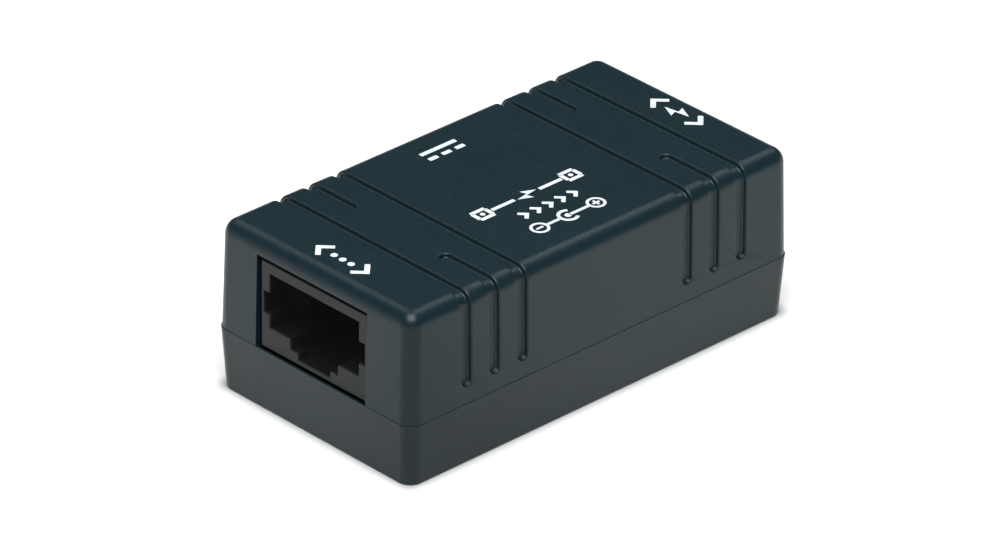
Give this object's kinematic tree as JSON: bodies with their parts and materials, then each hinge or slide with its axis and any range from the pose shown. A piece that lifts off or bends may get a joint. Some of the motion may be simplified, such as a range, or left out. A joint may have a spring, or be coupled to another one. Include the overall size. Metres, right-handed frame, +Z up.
{
  "type": "poe injector",
  "caption": "Small two-shell plastic box that adds DC power to a network cable: modular network socket in each short end, DC barrel socket in one long side.",
  "frame": {"origin": "centre of the underside of the bottom case", "axes": "+Z up, X along the length with the LAN socket at -X and the PoE socket at +X, +Y towards the side with the DC socket"},
  "size_m": [0.0582, 0.0314, 0.021],
  "materials": {
    "cover_plastic": "fine texture, semi-matt",
    "tray_plastic": "fine texture, semi-matt",
    "screw_steel": "zinc plated",
    "board_laminate": "solder mask over glass laminate",
    "jack_plastic": "moulded",
    "insert_plastic": "moulded",
    "contact_gold": "gold flash",
    "dc_plastic": "moulded",
    "plated_brass": "nickel plated",
    "tinned_copper": "tinned",
    "fuse_coating": "dipped coating",
    "can_aluminium": "drawn",
    "sleeve_film": "shrunk film",
    "bung_rubber": "moulded",
    "diode_epoxy": "moulded"
  },
  "bodies": {
    "injector": {"top_cover": "cover_plastic", "bottom_case": "tray_plastic", "case_screws": "screw_steel", "circuit_board": "board_laminate", "dc_jack_housing": "dc_plastic", "dc_jack_centre_pin": "plated_brass", "dc_jack_pin_terminal": "plated_brass", "dc_jack_sleeve_terminal": "plated_brass", "dc_jack_switch_terminal": "plated_brass", "polyfuse_body": "fuse_coating", "polyfuse_leads": "tinned_copper", "capacitor_can": "can_aluminium", "capacitor_sleeve": "sleeve_film", "capacitor_bung": "bung_rubber", "capacitor_leads": "tinned_copper", "diode_body": "diode_epoxy", "diode_leads": "tinned_copper", "lan_jack_housing": "jack_plastic", "lan_jack_insert": "insert_plastic", "lan_jack_tails": "contact_gold", "poe_jack_housing": "jack_plastic", "poe_jack_insert": "insert_plastic", "poe_jack_tails": "contact_gold"},
    "lan_wires": {"lan_jack_contacts": "contact_gold"},
    "poe_wires": {"poe_jack_contacts": "contact_gold"},
    "dc_leaf": {"dc_jack_sleeve_spring": "plated_brass"}
  },
  "joints": [
    {"name": "lan_contact_flex", "type": "hinge", "parent": "injector", "child": "lan_wires", "pos_m": [-0.02565, 0, 0.01715], "axis": [0, -1, 0], "range_deg": [0, 14]},
    {"name": "poe_contact_flex", "type": "hinge", "parent": "injector", "child": "poe_wires", "pos_m": [0.02565, 0, 0.01715], "axis": [0, 1, 0], "range_deg": [0, 14]},
    {"name": "dc_leaf_flex", "type": "hinge", "parent": "injector", "child": "dc_leaf", "pos_m": [0, 0.00345, 0.01045], "axis": [-1, 0, 0], "range_deg": [0, 5]}
  ]
}
